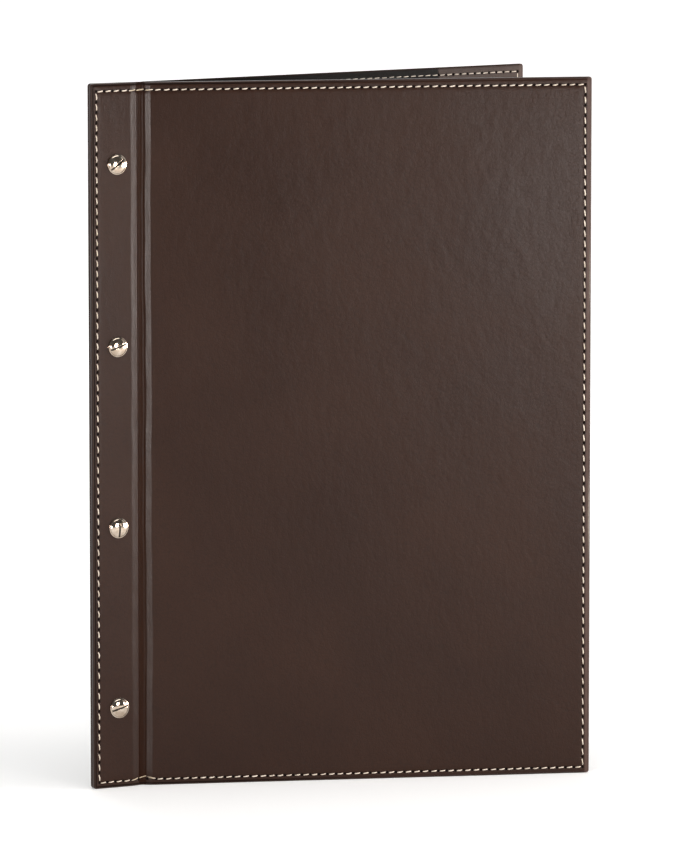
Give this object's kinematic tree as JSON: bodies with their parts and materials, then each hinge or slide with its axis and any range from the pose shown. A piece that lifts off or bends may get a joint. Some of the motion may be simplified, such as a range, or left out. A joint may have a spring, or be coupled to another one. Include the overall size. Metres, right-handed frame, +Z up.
{
  "type": "menu cover",
  "caption": "Screw-bound leatherette menu cover with two stitched stiff covers hinged on a binding strip, standing slightly open.",
  "frame": {"origin": "under the middle of the standing part, on the surface it stands on", "axes": "+Z up along the binding edge, -X toward the binding edge, -Y out of the front strip's face"},
  "size_m": [0.2231, 0.0837, 0.311],
  "materials": {
    "leatherette": "semi-matt, fine grain",
    "leatherette_band": "matt",
    "greyboard": "matt",
    "black_lining": "matt",
    "thread": "satin",
    "nickel": "polished"
  },
  "bodies": {
    "strips": {"front_strip_leatherette": "leatherette", "front_strip_board": "greyboard", "front_strip_lining": "black_lining", "front_strip_stitching": "thread", "back_strip_leatherette": "leatherette", "back_strip_board": "greyboard", "back_strip_lining": "black_lining", "back_strip_stitching": "thread", "binding_screw_1": "nickel", "binding_screw_2": "nickel", "binding_screw_3": "nickel", "binding_screw_4": "nickel", "screw_post_1": "nickel", "screw_post_2": "nickel", "screw_post_3": "nickel", "screw_post_4": "nickel"},
    "front_cover": {"front_cover_leatherette": "leatherette", "front_cover_board": "greyboard", "front_cover_lining": "black_lining", "front_fore_edge_band": "leatherette_band", "front_cover_stitching": "thread"},
    "back_cover": {"back_cover_leatherette": "leatherette", "back_cover_board": "greyboard", "back_cover_lining": "black_lining", "back_fore_edge_band": "leatherette_band", "back_cover_stitching": "thread"}
  },
  "joints": [
    {"name": "front_hinge", "type": "hinge", "parent": "strips", "child": "front_cover", "pos_m": [-0.08857, 0.01688, 0], "axis": [0, 0, -1], "range_deg": [-16.9, 143.1]},
    {"name": "back_hinge", "type": "hinge", "parent": "strips", "child": "back_cover", "pos_m": [-0.08857, 0.02088, 0], "axis": [0, 0, 1], "range_deg": [-5.85, 154.15]}
  ]
}
